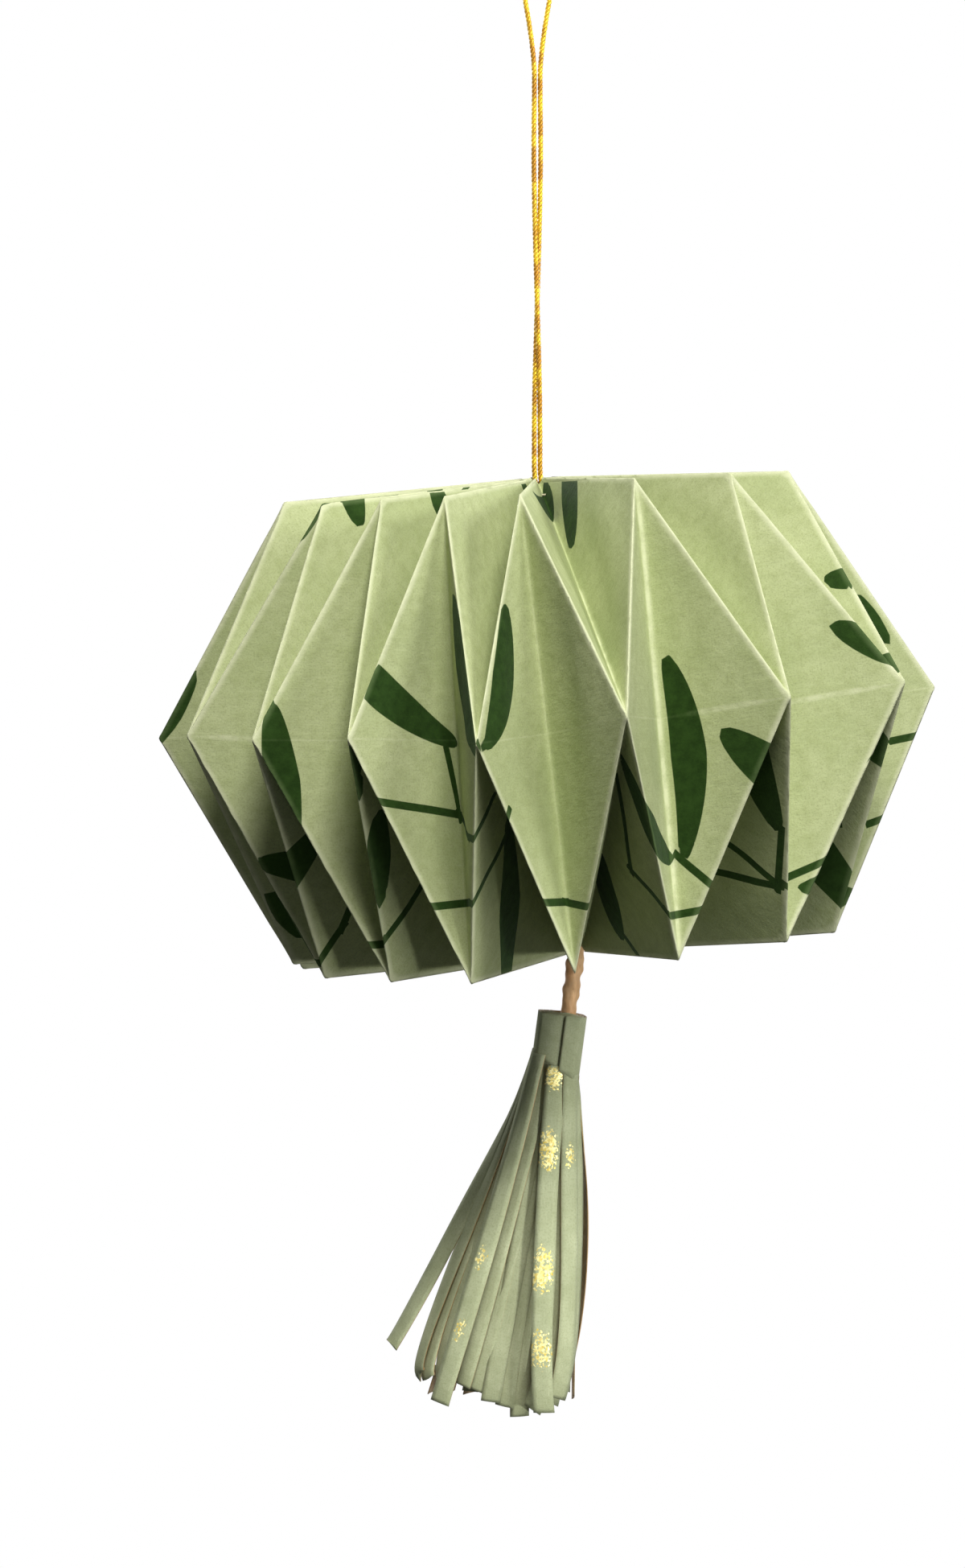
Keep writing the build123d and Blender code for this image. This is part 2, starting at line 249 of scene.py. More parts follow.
# Stems: from u, v to u, v
STEMS = [
    (124.0, -0.6, 126.0, -9.1),
    (111.4, -7.4, 126.0, -9.1),
    (126.0, -9.1, 133.0, -11.5),
    (133.0, -11.5, 142.5, -11.9),
    (118.4, -20.4, 130.0, -19.6),
    (130.0, -19.6, 141.5, -20.3),
    (155.0, -20.4, 161.6, -20.9),
    (161.6, -20.9, 168.6, -22.4),
    (199.2, -17.2, 207.0, -25.0),
    (180.5, -14.0, 186.5, -26.5),
    (186.5, -26.5, 194.0, -24.3),
    (194.0, -24.3, 202.0, -24.1),
    (225.0, -17.2, 228.8, -24.2),
    (228.8, -24.2, 221.0, -32.0),
    (228.4, -24.0, 221.0, -25.6),
    (229.2, -23.2, 241.0, -20.2),
    (257.0, 1.4, 262.0, -5.0),
    (281.0, -6.2, 290.0, -5.6),
    (254.0, -15.0, 259.5, -19.4),
    (276.6, -16.4, 282.0, -15.4),
    (86.0, -25.3, 93.0, -24.8),
    (93.0, -24.8, 103.0, -26.0),
    (52.0, -28.0, 60.0, -27.4),
    (60.0, -27.4, 71.0, -23.0),
    (47.0, -20.5, 38.0, -26.0),
    (186.0, -42.0, 204.0, -39.6),
    (143.4, -19.0, 150.0, -9.0),
]


def sprig(u, v, turn, size, pairs):
    """Adds a sprig: a stem with leaves to both sides, growing from u, v in that direction."""
    ahead = (cos(radians(turn)), sin(radians(turn)))
    reach = size * (pairs + 0.6)
    # Towards the stem's end the leaves get shorter and lean closer to it
    STEMS.append((u, v, u + ahead[0] * reach, v + ahead[1] * reach))
    for k in range(pairs):
        at = size * (k + 0.7)
        root = (u + ahead[0] * at, v + ahead[1] * at)
        for side in (-1, 1):
            lean = radians(turn + side * (52 - 6 * k))
            long = size * (1.35 - 0.14 * k) * (1.1 if side > 0 else 0.9)
            tip = (root[0] + cos(lean) * long, root[1] + sin(lean) * long)
            LEAVES.append((*root, *tip, size * 0.36, side * size * 0.08, ""))
    tip = (u + ahead[0] * (reach + size), v + ahead[1] * (reach + size))
    LEAVES.append((u + ahead[0] * reach, v + ahead[1] * reach, *tip, size * 0.4, 0.0, ""))


# The same pattern where the photo doesn't look: u, v, direction, size and pairs of leaves
BACK_SPRIGS = [
    (306, -44, 62, 13, 4),
    (340, -20, 118, 12, 3),
    (372, -50, 84, 13, 4),
    (412, 4, 40, 12, 3),
    (430, -46, 100, 13, 3),
    (470, -34, 66, 13, 4),
    (500, 8, 120, 12, 3),
    (528, -48, 92, 13, 3),
    (556, -14, 60, 12, 3),
    (30, 44, -30, 9, 1),
    (80, 46, -20, 9, 1),
]
for growing in BACK_SPRIGS:
    sprig(*growing)


def apart(u, other):
    """Distance along the strip, which is glued into a ring."""
    return np.mod(u - other + STRIP / 2, STRIP) - STRIP / 2


def from_corner(u):
    """Distance along the strip from the nearest upright line through an outer corner."""
    within = np.mod(u, 2 * HALF_WIDTH)
    return np.minimum(within, 2 * HALF_WIDTH - within)


def leaf_field(u, v):
    """Signed distance to the nearest leaf's outline, negative inside."""
    field = np.full(len(u), FAR)
    past_ridge = (np.abs(v) * HALF_WIDTH - from_corner(u) * HALF_HEIGHT) / PANEL_SIDE
    for u0, v0, u1, v1, width, bend, only in LEAVES:
        du, dv = u1 - u0, v1 - v0
        length = sqrt(du * du + dv * dv)
        x, y = apart(u, u0), v - v0
        along = (x * du + y * dv) / length**2
        side = (-x * dv + y * du) / length
        share = np.clip(along, 0, 1)
        middle = 4 * bend * share * (1 - share)
        # An oval that is widest below its middle and drawn in towards its base
        oval = np.sqrt(np.clip(1 - (2 * share**0.75 - 1) ** 2, 0, 1))
        half = width / 2 * oval * (0.55 + 0.45 * np.clip(share * 2, 0, 1))
        off = np.abs(side - middle) - half
        past = np.maximum(np.maximum(-along, along - 1), 0) * length
        off = np.where(past > 0, np.hypot(past, np.maximum(off, 0)), off)
        if only:
            off = np.maximum(off, past_ridge if only == "panel" else -past_ridge)
        field = np.minimum(field, off)
    return field


STEM_SPACING = 7.0


def stem_groups():
    """Stems sorted so that no two of a group come nearer each other than the spacing.

    Each group is drawn from an attribute of its own, so stems that meet don't blur.
    """
    groups = []
    for stem in STEMS:
        own = np.linspace(stem[:2], stem[2:], 9)
        for group in groups:
            others = np.concatenate([np.linspace(other[:2], other[2:], 9) for other in group])
            gaps = np.linalg.norm(own[:, None] - others[None], axis=2)
            if gaps.min() > STEM_SPACING:
                group.append(stem)
                break
        else:
            groups.append([stem])
    return groups


def stem_fields(u, v, stems):
    """For the nearest stem: signed distance to its line, and plain distance to its run."""
    across = np.full(len(u), FAR)
    nearest = np.full(len(u), FAR)
    for u0, v0, u1, v1 in stems:
        du, dv = u1 - u0, v1 - v0
        length = sqrt(du * du + dv * dv)
        x, y = apart(u, u0), v - v0
        along = (x * du + y * dv) / length
        side = (-x * dv + y * du) / length
        past = np.maximum(np.maximum(-along, along - length), 0)
        reach = np.hypot(past, side)
        closer = reach < nearest
        across = np.where(closer, side, across)
        nearest = np.where(closer, reach, nearest)
    return across, nearest


# Helpers


def to_object(mesh, name):
    thing = bpy.data.objects.new(name, mesh)
    bpy.context.scene.collection.objects.link(thing)
    return thing


def smooth(mesh):
    mesh.polygons.foreach_set("use_smooth", [True] * len(mesh.polygons))


def flat_points(mesh):
    """The two coordinates of each point of a flat sheet."""
    flat = np.empty(len(mesh.vertices) * 3, dtype=np.float32)
    mesh.vertices.foreach_get("co", flat)
    flat = flat.reshape(-1, 3).astype(float)
    return flat[:, 0], flat[:, 1]


def set_places(mesh, places):
    mesh.vertices.foreach_set("co", np.asarray(places, dtype=np.float32).ravel() * MM)
    mesh.update()


def transformed(matrix, places):
    whole = np.array(matrix)
    return places @ whole[:3, :3].T + whole[:3, 3]


def give_field(mesh, name, values):
    field = mesh.attributes.new(name, "FLOAT", "POINT")
    field.data.foreach_set("value", np.asarray(values, dtype=np.float32))


def flat_grid(columns, rows, width, height):
    """A flat sheet from 0, 0 to width, height."""
    bm = bmesh.new()
    bmesh.ops.create_grid(bm, x_segments=columns, y_segments=rows, size=0.5)
    for vert in bm.verts:
        vert.co = Vector(((vert.co.x + 0.5) * width, (vert.co.y + 0.5) * height, 0))
    return bm


def with_uv(bm):
    """Gives a flat sheet its UV map, which follows the sheet's own mm."""
    layer = bm.loops.layers.uv.new("sheet")
    for face in bm.faces:
        for loop in face.loops:
            loop[layer].uv = loop.vert.co.xy / UV_UNIT


def bent_sheet(name, columns, rows, width, height, bend, skew=0.0):
    """A sheet of that size whose points bend(s, t) moves to their places, s and t in mm.

    The skew is how much further down one end of the cut lower edge reaches than the other.
    """
    bm = flat_grid(columns, rows, width, height)
    if skew:
        for vert in bm.verts:
            vert.co.y += skew * (1 - vert.co.y / height) * (vert.co.x / width - 0.5)
    with_uv(bm)
    mesh = bpy.data.meshes.new(name)
    bm.to_mesh(mesh)
    bm.free()
    set_places(mesh, bend(*flat_points(mesh)))
    smooth(mesh)
    return mesh


def joined(name, meshes):
    bm = bmesh.new()
    for mesh in meshes:
        bm.from_mesh(mesh)
        bpy.data.meshes.remove(mesh)
    whole = bpy.data.meshes.new(name)
    bm.to_mesh(whole)
    bm.free()
    smooth(whole)
    return whole


# Materials


class Nodes:
    """Short names for building a material's nodes."""

    def __init__(self, name):
        self.material = bpy.data.materials.new(name)
        self.material.use_nodes = True
        self.tree = self.material.node_tree
        self.shader = next(n for n in self.tree.nodes if n.type == "BSDF_PRINCIPLED")

    def put(self, kind, **inputs):
        """Adds a node. An input is given by its name, or by its number after an underscore."""
        settings = inputs.pop("settings", {})
        node = self.tree.nodes.new(kind)
        for key, value in settings.items():
            setattr(node, key, value)
        for key, value in inputs.items():
            socket = node.inputs[int(key[1:])] if key[0] == "_" else node.inputs[key]
            self.feed(socket, value)
        return node

    def feed(self, socket, value):
        if isinstance(value, bpy.types.NodeSocket):
            self.tree.links.new(value, socket)
        else:
            socket.default_value = value

    def math(self, operation, a, b=0.0, clamp=False):
        settings = {"operation": operation, "use_clamp": clamp}
        return self.put("ShaderNodeMath", _0=a, _1=b, settings=settings).outputs[0]

    def between(self, value, low, high, to_low=0.0, to_high=1.0):
        node = self.put("ShaderNodeMapRange", settings={"interpolation_type": "SMOOTHSTEP"})
        for socket, number in zip(node.inputs, (value, low, high, to_low, to_high)):
            self.feed(socket, number)
        return node.outputs[0]

    def mix(self, share, a, b, blend="MIX"):
        node = self.put("ShaderNodeMix", settings={"data_type": "RGBA", "blend_type": blend})
        self.feed(node.inputs[0], share)
        self.feed(node.inputs[6], a)
        self.feed(node.inputs[7], b)
        return node.outputs[2]

    def noise(self, where, scale, detail=3.0, rough=0.5):
        node = self.put("ShaderNodeTexNoise", Vector=where, Scale=scale, Detail=detail)
        node.inputs["Roughness"].default_value = rough
        return node.outputs["Fac"]

    def stretched(self, where, x, y, z, turn=0.0):
        node = self.put("ShaderNodeMapping", Vector=where, Scale=(x, y, z))
        node.inputs["Rotation"].default_value = (0, 0, turn)
        return node.outputs[0]

    def field(self, name):
        return self.put("ShaderNodeAttribute", settings={"attribute_name": name}).outputs["Fac"]

    def sheet(self):
        return self.put("ShaderNodeUVMap", settings={"uv_map": "sheet"}).outputs[0]

    def place(self):
        return self.put("ShaderNodeTexCoord").outputs["Object"]

    def bump(self, height, distance, strength=1.0, normal=None):
        node = self.put("ShaderNodeBump", Height=height, Distance=distance, Strength=strength)
        if normal is not None:
            self.feed(node.inputs["Normal"], normal)
        return node.outputs[0]


def rgb(red, green, blue):
    """A colour written as it looks on a screen, 0 to 255."""

    def light(value):
        value /= 255.0
        return value / 12.92 if value <= 0.04045 else ((value + 0.055) / 1.055) ** 2.4

    return (light(red), light(green), light(blue), 1.0)


STEM_GROUPS = stem_groups()


def printed_paper():
    """Soft sage paper with dark green sprigs, worn pale along its folds."""
    n = Nodes("printed_paper")
    sheet = n.sheet()
    cloud = n.noise(sheet, 5.0, 4.0, 0.6)
    mottle = n.noise(sheet, 60.0, 4.0, 0.65)
    grain = n.noise(sheet, 420.0, 2.0, 0.6)
    fibre_a = n.noise(n.stretched(sheet, 30, 420, 1, 0.5), 1.0, 3.0, 0.6)
    fibre_b = n.noise(n.stretched(sheet, 380, 26, 1, -0.3), 1.0, 3.0, 0.6)
    base = n.mix(n.between(cloud, 0.35, 0.65), rgb(184, 195, 142), rgb(198, 207, 156))
    base = n.mix(n.between(mottle, 0.35, 0.75, 0.0, 0.5), base, rgb(166, 176, 120))
    base = n.mix(n.between(grain, 0.45, 0.75, 0.0, 0.4), base, rgb(142, 149, 104))
    base = n.mix(n.between(fibre_a, 0.56, 0.74, 0.0, 0.3), base, rgb(205, 212, 166))
    base = n.mix(n.between(fibre_b, 0.56, 0.74, 0.0, 0.22), base, rgb(150, 158, 108))
    wear = n.noise(sheet, 38.0, 3.0, 0.6)
    ridge = n.between(n.field("ridge"), 0.3, 1.1, 1.0, 0.0)
    ridge = n.math("MULTIPLY", ridge, n.between(wear, 0.3, 0.6, 0.6, 1.0))
    valley = n.between(n.field("valley"), 0.2, 1.0, 1.0, 0.0)
    valley = n.math("MULTIPLY", valley, n.between(wear, 0.35, 0.6, 0.3, 0.8))
    girdle = n.between(n.field("girdle"), 0.1, 0.55, 1.0, 0.0)
    girdle = n.math("MULTIPLY", girdle, n.between(wear, 0.38, 0.62, 0.2, 0.7))
    green = n.mix(n.between(mottle, 0.3, 0.7), rgb(34, 58, 17), rgb(46, 73, 26))
    ink = n.between(n.field("leaf"), -0.06, 0.06, 1.0, 0.0)
    for k in range(len(STEM_GROUPS)):
        stem = n.between(n.math("ABSOLUTE", n.field(f"stem_{k}")), 0.44, 0.54, 1.0, 0.0)
        stem = n.math("MULTIPLY", stem, n.math("LESS_THAN", n.field(f"stem_reach_{k}"), 1.1))
        ink = n.math("MAXIMUM", ink, stem)
    printed = n.mix(ink, base, green)
    worn = n.math("MAXIMUM", ridge, n.math("MAXIMUM", girdle, valley))
    pale = n.mix(ink, rgb(222, 227, 186), rgb(84, 106, 62))
    colour = n.mix(worn, printed, pale)
    n.feed(n.shader.inputs["Base Color"], colour)
    n.feed(n.shader.inputs["Roughness"], n.between(grain, 0.3, 0.7, 0.72, 0.86))
    n.shader.inputs["Specular IOR Level"].default_value = 0.1
    n.shader.inputs["Sheen Weight"].default_value = 0.04
    n.shader.inputs["Sheen Roughness"].default_value = 0.5
    height = n.math("ADD", n.math("MULTIPLY", grain, 0.5), n.math("MULTIPLY", fibre_a, 0.6))
    normal = n.bump(height, 0.00005, 0.55)
    normal = n.bump(mottle, 0.0003, 0.35, normal)
    n.feed(n.shader.inputs["Normal"], normal)
    return n.material


def tassel_paper():
    """Matt sage paper with a few flakes of gold leaf pressed into it."""
    n = Nodes("tassel_paper")
    sheet = n.sheet()
    place = n.place()
    cloud = n.noise(sheet, 14.0, 4.0, 0.6)
    grain = n.noise(sheet, 420.0, 2.0, 0.6)
    fibre = n.noise(n.stretched(sheet, 420, 40, 1, 0.2), 1.0, 3.0, 0.6)
    base = n.mix(n.between(cloud, 0.35, 0.65), rgb(160, 167, 130), rgb(180, 187, 150))
    base = n.mix(n.between(grain, 0.45, 0.72, 0.0, 0.35), base, rgb(128, 135, 100))
    base = n.mix(n.between(fibre, 0.55, 0.72, 0.0, 0.35), base, rgb(196, 202, 166))
    flakes = n.put("ShaderNodeTexVoronoi", Vector=sheet, Scale=420.0)
    pick = n.put("ShaderNodeSeparateColor", Color=flakes.outputs["Color"])
    ragged = n.math("SUBTRACT", pick.outputs[0], 0.5)
    dot = n.math("ADD", n.field("dot"), n.math("MULTIPLY", ragged, 0.85))
    in_dot = n.math("LESS_THAN", dot, -0.05)
    has_flake = n.math("GREATER_THAN", pick.outputs[1], 0.22)
    gold = n.math("MULTIPLY", in_dot, has_flake)
    leafing = n.mix(pick.outputs[2], rgb(212, 190, 96), rgb(250, 242, 176))
    crumple = n.noise(place, 900.0, 3.0, 0.6)
    n.feed(n.shader.inputs["Base Color"], n.mix(gold, base, leafing))
    n.feed(n.shader.inputs["Metallic"], n.math("MULTIPLY", gold, 0.4))
    n.feed(n.shader.inputs["Roughness"], n.between(gold, 0.0, 1.0, 0.78, 0.36))
    n.shader.inputs["Specular IOR Level"].default_value = 0.12
    n.shader.inputs["Sheen Weight"].default_value = 0.04
    normal = n.bump(n.math("ADD", grain, n.math("MULTIPLY", fibre, 0.6)), 0.00004, 0.6)
    n.feed(n.shader.inputs["Normal"], n.bump(crumple, 0.0002, 0.25, normal))
    return n.material


def tan_paper(name, light, dark, sheen):
    """Thin tan kraft paper, creased by hand."""
    n = Nodes(name)
    place = n.place()
    cloud = n.noise(n.stretched(place, 300, 300, 120), 1.0, 4.0, 0.6)
    grain = n.noise(place, 5200.0, 2.0, 0.6)
    fibre = n.noise(n.stretched(place, 3800, 3800, 500), 1.0, 3.0, 0.6)
    creases = n.put("ShaderNodeTexVoronoi", Vector=n.stretched(place, 700, 700, 330), Scale=1.0)
    creases.feature = "DISTANCE_TO_EDGE"
    crease = n.between(creases.outputs["Distance"], 0.0, 0.12, 1.0, 0.0)
    base = n.mix(n.between(cloud, 0.3, 0.7), light, dark)
    base = n.mix(n.between(fibre, 0.5, 0.75, 0.0, 0.35), base, dark)
    base = n.mix(n.math("MULTIPLY", crease, 0.12), base, rgb(226, 204, 170))
    n.feed(n.shader.inputs["Base Color"], base)
    n.feed(n.shader.inputs["Roughness"], n.between(grain, 0.3, 0.7, 0.5, 0.68))
    n.shader.inputs["Metallic"].default_value = sheen
    n.shader.inputs["Specular IOR Level"].default_value = 0.35
    normal = n.bump(creases.outputs["Distance"], 0.0006, 0.3)
    n.feed(n.shader.inputs["Normal"], n.bump(grain, 0.00003, 0.5, normal))
    return n.material


def gold_thread():
    """Metallised yarn: flat gold film wound round a dark yellow core. Its light and dark patches
    are partly the film's own tone and partly painted highlight and shade, and its pale yellow
    specks are painted glints.
    """
    n = Nodes("gold_cord")
    place = n.place()
    grain = n.noise(place, 9000.0, 2.0, 0.6)
    tone_and_painted_light_patch = n.noise(place, 300.0, 3.0, 0.6)
    # Light and dark patches: partly the film's tone, partly painted highlight and painted shade
    base = n.mix(n.between(tone_and_painted_light_patch, 0.42, 0.58), rgb(240, 198, 38), rgb(184, 124, 18))
    # Pale yellow specks over the grain: painted glints
    base = n.mix(n.between(grain, 0.45, 0.7, 0.0, 0.4), base, rgb(250, 226, 96))
    n.feed(n.shader.inputs["Base Color"], base)
    n.shader.inputs["Metallic"].default_value = 0.45
    n.feed(n.shader.inputs["Roughness"], n.between(tone_and_painted_light_patch, 0.3, 0.7, 0.28, 0.46))
    n.feed(n.shader.inputs["Normal"], n.bump(grain, 0.00006, 0.7))
    return n.material


def cotton():
    """Off-white waxed thread."""
    n = Nodes("cotton_thread")
    place = n.place()
    twist = n.put("ShaderNodeTexWave", Vector=place, Scale=900.0)
    fuzz = n.noise(place, 6000.0, 2.0, 0.6)
    base = n.mix(n.between(fuzz, 0.3, 0.7), rgb(214, 206, 176), rgb(186, 178, 146))
    n.feed(n.shader.inputs["Base Color"], base)
    n.shader.inputs["Roughness"].default_value = 0.8
    height = n.math("ADD", twist.outputs["Fac"], fuzz)
    n.feed(n.shader.inputs["Normal"], n.bump(height, 0.00005, 0.6))
    return n.material


PRINTED = printed_paper()
SAGE = tassel_paper()
TAN_BACK = tan_paper("tan_back", rgb(188, 158, 112), rgb(144, 116, 76), 0.0)
COPPER_TAN = tan_paper("tan_paper", rgb(226, 186, 136), rgb(170, 118, 72), 0.2)
GOLD = gold_thread()
COTTON = cotton()

# Camera

CAMERA_AT = (-7.0, -671.0, -74.5)
CAMERA_DOWN = 2.8
SENSOR = 36.0
LENS = 120.06
# The same lens in pixels of the photo, and the pixel in the photo's middle
PHOTO_FOCAL = 6500.0
PHOTO_MIDDLE = (600.0, 974.5)

lens = bpy.data.cameras.new("camera")
lens.sensor_width = SENSOR
lens.lens = LENS
camera = to_object(lens, "camera")
camera.location = Vector(CAMERA_AT) * MM
camera.rotation_euler = (radians(90 - CAMERA_DOWN), 0, 0)
bpy.context.scene.camera = camera

# The cord

CORD = 0.7
STRAND = 0.36  # each strand runs this far from the middle between the two
HEAD_END = 7.1  # the cord and the stem go this far down into the tassel's head
STEM_TOP = STEM_SHOWING + 1.2  # the stem goes this far up from the head, into the ball
BEND_ABOVE_STEM = 6.5
STRAIGHT_ABOVE_STEM = 2.5
PLIES = 3
LAY_LENGTH = 1.7
PLY_OVERLAP = 1.12  # the plies press into each other a little


def strand_points(side):
    """One strand from its end in the tassel up to the loop; the two cross once on their way."""
    aside = STEM_ASIDE - side * STRAND
    knot = Vector((-side * STRAND, 0.0, -CORD_DROP))
    bend = TASSEL @ Vector((aside, 0, STEM_TOP + BEND_ABOVE_STEM))
    lower = [
        tuple(TASSEL @ Vector((aside, 0, -HEAD_END))),
        tuple(TASSEL @ Vector((aside, 0, STEM_TOP + STRAIGHT_ABOVE_STEM))),
        tuple(bend),
        tuple(bend.lerp(knot, 0.1)),
        tuple(knot),
    ]
    # Read off the photo: where the strands lie beside each other, and where one is in front
    run = [
        (-side * 0.38, 0.0, -64.0),
        (-side * 0.32, side * 0.26, -56.0),
        (0.0, side * 0.42, -46.0),
        (side * 0.30, side * 0.28, -36.0),
        (side * 0.46, 0.0, -27.0),
        (side * 0.38, -side * 0.10, -20.0),
    ]
    loop = [(side * STRAND, 0, -14.0), (side * 2.4, 0, -2.4), (side * 1.44, 0, 0.35)]
    return lower + run + loop


def route_line(points):
    """Points along the cord's NURBS route."""
    curve = bpy.data.curves.new("cord_route", "CURVE")
    curve.dimensions = "3D"
    spline = curve.splines.new("NURBS")
    spline.points.add(len(points) - 1)
    for point, place in zip(spline.points, points):
        point.co = (*(Vector(place) * MM), 1.0)
    spline.order_u = 3
    spline.use_endpoint_u = True
    spline.resolution_u = 24
    holder = to_object(curve, "cord_route")
    bpy.context.view_layer.update()
    graph = bpy.context.evaluated_depsgraph_get()
    mesh = bpy.data.meshes.new_from_object(holder.evaluated_get(graph))
    line = np.array([tuple(vert.co) for vert in mesh.vertices]) / MM
    bpy.data.meshes.remove(mesh)
    bpy.data.objects.remove(holder)
    return line


def evenly(line, step):
    """Points that step apart along the line, and the line's length."""
    runs = np.linalg.norm(np.diff(line, axis=0), axis=1)
    far = np.concatenate([[0], np.cumsum(runs)])
    where = np.linspace(0, far[-1], int(far[-1] / step) + 1)
    return np.column_stack([np.interp(where, far, line[:, k]) for k in range(3)]), far[-1]


def carried_frames(line):
    """A pair of directions across the line at each point, carried along without twist."""
    ahead = np.gradient(line, axis=0)
    ahead /= np.linalg.norm(ahead, axis=1)[:, None]
    across = np.cross(ahead[0], [0, 1, 0])
    first = [across / np.linalg.norm(across)]
    for k in range(1, len(line)):
        turned = first[-1] - ahead[k] * np.dot(first[-1], ahead[k])
        first.append(turned / np.linalg.norm(turned))
    first = np.array(first)
    return first, np.cross(ahead, first)


def tube(line, radius, sides):
    """A mesh tube along the line, with its own UV map: length along it, and round it."""
    first, second = carried_frames(line)
    bm = bmesh.new()
    bmesh.ops.create_grid(bm, x_segments=len(line) - 1, y_segments=sides, size=0.5)
    count = len(line) - 1
    places = []
    for vert in bm.verts:
        k = round((vert.co.x + 0.5) * count)
        j = round((vert.co.y + 0.5) * sides)
        angle = 2 * pi * j / sides
        places.append(line[k] + radius * (cos(angle) * first[k] + sin(angle) * second[k]))
        vert.co = Vector((k, j, 0))
    layer = bm.loops.layers.uv.new("sheet")
    for face in bm.faces:
        for loop in face.loops:
            loop[layer].uv = loop.vert.co.xy / 10.0
    for vert, place in zip(bm.verts, places):
        vert.co = Vector(place) * MM
    bmesh.ops.remove_doubles(bm, verts=bm.verts, dist=1e-7)
    bmesh.ops.holes_fill(bm, edges=[edge for edge in bm.edges if edge.is_boundary], sides=0)
    bmesh.ops.recalc_face_normals(bm, faces=bm.faces)
    mesh = bpy.data.meshes.new("tube")
    bm.to_mesh(mesh)
    bm.free()
    return mesh


def rope(name, line, diameter, plies, pitch, step, sides):
    """Plies laid round each other along the line."""
    line, length = evenly(line, step)
    first, second = carried_frames(line)
    ply = diameter / 2 / (1 + 1 / sin(pi / plies)) * PLY_OVERLAP
    lay = diameter / 2 - ply
    turn = 2 * pi * np.arange(len(line)) * step / pitch
    meshes = []
    for k in range(plies):
        angle = turn + 2 * pi * k / plies
        path = line + lay * (np.cos(angle)[:, None] * first + np.sin(angle)[:, None] * second)
        meshes.append(tube(path, ply, sides))
    return joined(name, meshes), line, length


cord_points = strand_points(-1) + strand_points(1)[::-1]
cord_line = route_line(cord_points)
cord_mesh, cord_path, cord_length = rope(
    "gold_cord", cord_line, CORD, PLIES, LAY_LENGTH, step=0.2, sides=6
)
gold_cord = to_object(cord_mesh, "gold_cord")
cord_mesh.materials.append(GOLD)
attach(gold_cord, "root")
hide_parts("hanging_cord")

# The folded ball


CREASE_RADIUS = 0.42
VALLEY_EXTRA = 0.9  # the open middle of an upright valley is rounder by this much
SPOTS = 8  # places round a point whose folded places are averaged
OWN_SHARE = 0.3
BESIDE = 0.4  # extra cuts run this far to both sides of a crease
CUT_REACH = 2.0  # only faces this near a slanting crease are cut for it
LAP_FROM = 2 * HALF_WIDTH * 12
LAP = 8.0  # the strip's ends are glued over each other for this length
LAP_RISE = 0.24  # the glued end lies this much further out than the end under it
PROBE = 0.6  # half the distance over which the paper's slope is taken
SWELL = 0.34  # how much the panels swell in and out
PUFF = 0.12  # every panel stands out this much
# Only some of the upright and level folds are worn pale: panels, and stretches along the strip
WORN_PANELS = (5, 9, 13)
WORN_STRETCHES = ((38, 70), (200, 214), (218, 250), (330, 352), (455, 500))


def near_crease(u, v):
    """Distances on the flat strip to the nearest ridge, upright valley and level line."""
    from_edge = from_corner(u)
    height = np.abs(v)
    first = np.abs(height * HALF_WIDTH - from_edge * HALF_HEIGHT) / PANEL_SIDE
    second = np.abs((FULL_REACH - height) * HALF_WIDTH - from_edge * HALF_HEIGHT) / PANEL_SIDE
    ridge = np.minimum(first, second)
    valley = np.where(height <= HALF_HEIGHT + 0.01, HALF_WIDTH - from_edge, FAR)
    roof_valley = np.where(height > 0.01, from_edge, FAR)
    return ridge, np.minimum(valley, roof_valley), height


def soft_fold(u, v):
    """The fold with creases rounded: sharp ones tightly, upright valleys widely."""
    open_part = np.clip((HALF_HEIGHT - np.abs(v)) / 8.0, 0, 1)
    wide = np.clip(1 - (HALF_WIDTH - from_corner(u)) / 3.0, 0, 1) * open_part
    radius = CREASE_RADIUS + VALLEY_EXTRA * wide
    places = fold(u, v) * OWN_SHARE
    for k in range(SPOTS):
        angle = 2 * pi / SPOTS * k + 0.2
        beside = fold(u + radius * cos(angle), v + radius * sin(angle))
        places += beside * (1 - OWN_SHARE) / SPOTS
    return places


def waves(u, v, seed):
    """Slow uneven swelling of hand-folded paper, for the most part between -1 and 1."""
    numbers = random.Random(seed)
    total = np.zeros(len(u))
    for _ in range(7):
        along = numbers.randint(14, 60) * 2 * pi / STRIP
        across = numbers.uniform(-0.16, 0.16)
        total += np.sin(along * u + across * v + numbers.uniform(0, 6.3))
    return total / 4


def everything(bm):
    return bm.faces[:] + bm.edges[:] + bm.verts[:]


def half_column():
    """Half of one pleat's width of the flat strip, cut along every crease and beside it."""
    bm = flat_grid(15, 94, HALF_WIDTH, 2 * STRIP_EDGE)
    bmesh.ops.translate(bm, verts=bm.verts, vec=(0, -STRIP_EDGE, 0))
    rise = HALF_HEIGHT / HALF_WIDTH
    for up in (1, -1):
        for start, lean in ((0, 1), (FULL_REACH, -1)):
            normal = Vector((-up * lean * rise, 1, 0)).normalized()
            for beside in (0, -BESIDE, BESIDE):
                point = Vector((0, up * start, 0)) + normal * beside
                near = [
                    face
                    for face in bm.faces
                    if abs((face.calc_center_median() - point).dot(normal)) < CUT_REACH
                ]
                geom = set(near)
                for face in near:
                    geom.update(face.edges)
                    geom.update(face.verts)
                bmesh.ops.bisect_plane(
                    bm, geom=list(geom), dist=1e-4, plane_co=point, plane_no=normal
                )
    upright = [((x, 0, 0), (1, 0, 0)) for x in (BESIDE, HALF_WIDTH - 0.5)]
    level = [((0, y, 0), (0, 1, 0)) for y in (-BESIDE, BESIDE)]
    for point, normal in upright + level:
        bmesh.ops.bisect_plane(
            bm, geom=everything(bm), dist=1e-4, plane_co=point, plane_no=normal
        )
    return bm


